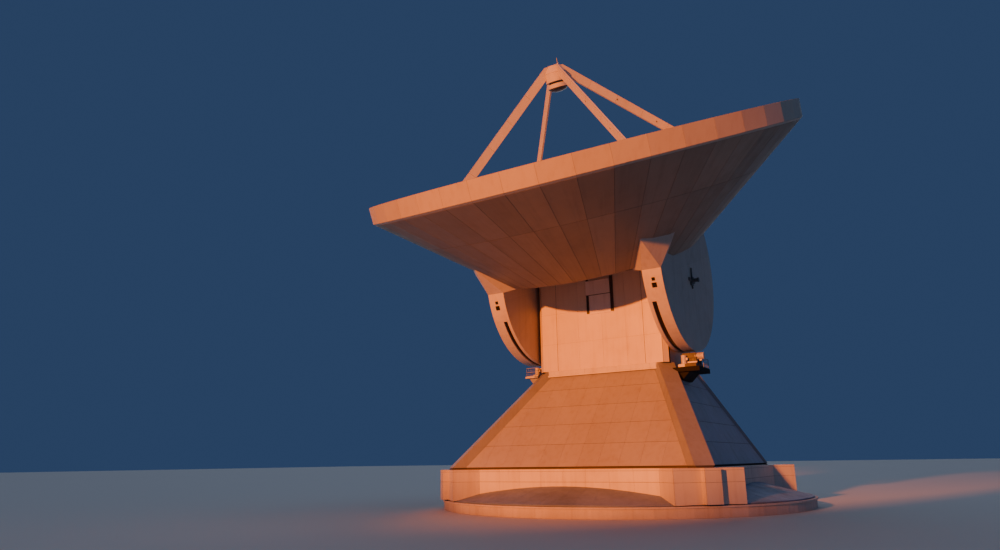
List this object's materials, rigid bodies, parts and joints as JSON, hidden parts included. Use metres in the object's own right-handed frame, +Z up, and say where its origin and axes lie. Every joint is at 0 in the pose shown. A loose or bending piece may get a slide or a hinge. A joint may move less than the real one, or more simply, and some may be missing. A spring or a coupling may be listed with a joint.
{
  "type": "radio telescope dish scale model",
  "caption": "Large dish radio telescope at half scale: round track, skirt, pyramid base and house carrying a tilting dish with wheels, rim band and blade tetrapod.",
  "frame": {"origin": "azimuth axis at ground level, on the underside of the foundation", "axes": "+X to the right seen from the front and along the elevation axis, -Y to the front, +Z up along the azimuth axis"},
  "size_m": [25, 26.1066, 25.4584],
  "materials": {
    "concrete": "cast concrete, weathered",
    "cladding": "off-white painted sheet panels, satin",
    "shaded_cladding": "off-white painted sheet, duller",
    "steel": "bare machined steel",
    "dark_steel": "dark grey paint",
    "mirror_panels": "fine-ground aluminium panels"
  },
  "bodies": {
    "foundation": {"foundation_floor": "concrete", "foundation_ring": "concrete", "azimuth_rail": "steel", "pintle_pin": "steel"},
    "alidade": {"track_cover": "shaded_cladding", "bogie_housing_front_right": "cladding", "bogie_housing_back_right": "cladding", "bogie_housing_back_left": "cladding", "bogie_housing_front_left": "cladding", "skirt_wall_front": "cladding", "skirt_wall_right": "cladding", "skirt_wall_back": "cladding", "skirt_wall_left": "cladding", "skirt_roof": "shaded_cladding", "pintle_cross": "dark_steel", "corner_leg_front_right": "cladding", "corner_leg_front_left": "cladding", "corner_leg_back_right": "cladding", "corner_leg_back_left": "cladding", "pyramid_wall_front": "cladding", "pyramid_wall_back": "cladding", "pyramid_wall_right": "cladding", "pyramid_wall_left": "cladding", "pyramid_deck": "cladding", "house_wall_front": "cladding", "house_wall_back": "cladding", "house_wall_right": "cladding", "house_wall_left": "cladding", "house_roof": "cladding", "elevation_bearing_right": "dark_steel", "elevation_bearing_left": "dark_steel", "drive_platform_right": "dark_steel", "drive_platform_left": "dark_steel", "drive_gearbox_right": "shaded_cladding", "drive_gearbox_left": "shaded_cladding"},
    "reflector": {"rim_band": "cladding", "dish_surface": "mirror_panels", "back_cladding_outer": "cladding", "back_cladding_inner": "cladding", "dish_hub_plate": "shaded_cladding", "vertex_port": "shaded_cladding", "elevation_wheel_right": "cladding", "elevation_wheel_left": "cladding", "gear_rack_right": "dark_steel", "gear_rack_left": "dark_steel", "tetrapod_leg_back_right": "cladding", "tetrapod_leg_back_left": "cladding", "tetrapod_leg_front_left": "cladding", "tetrapod_leg_front_right": "cladding", "apex_housing": "cladding", "subreflector_ring": "cladding", "subreflector": "dark_steel", "apex_rod": "steel"}
  },
  "joints": [
    {"name": "azimuth", "type": "hinge", "parent": "foundation", "child": "alidade", "pos_m": [0, 0, 1.2], "axis": [0, 0, 1], "range_deg": [-270, 270]},
    {"name": "elevation", "type": "hinge", "parent": "alidade", "child": "reflector", "pos_m": [0, -1.19, 13.235], "axis": [1, 0, 0], "range_deg": [-25.6, 52.4]}
  ]
}
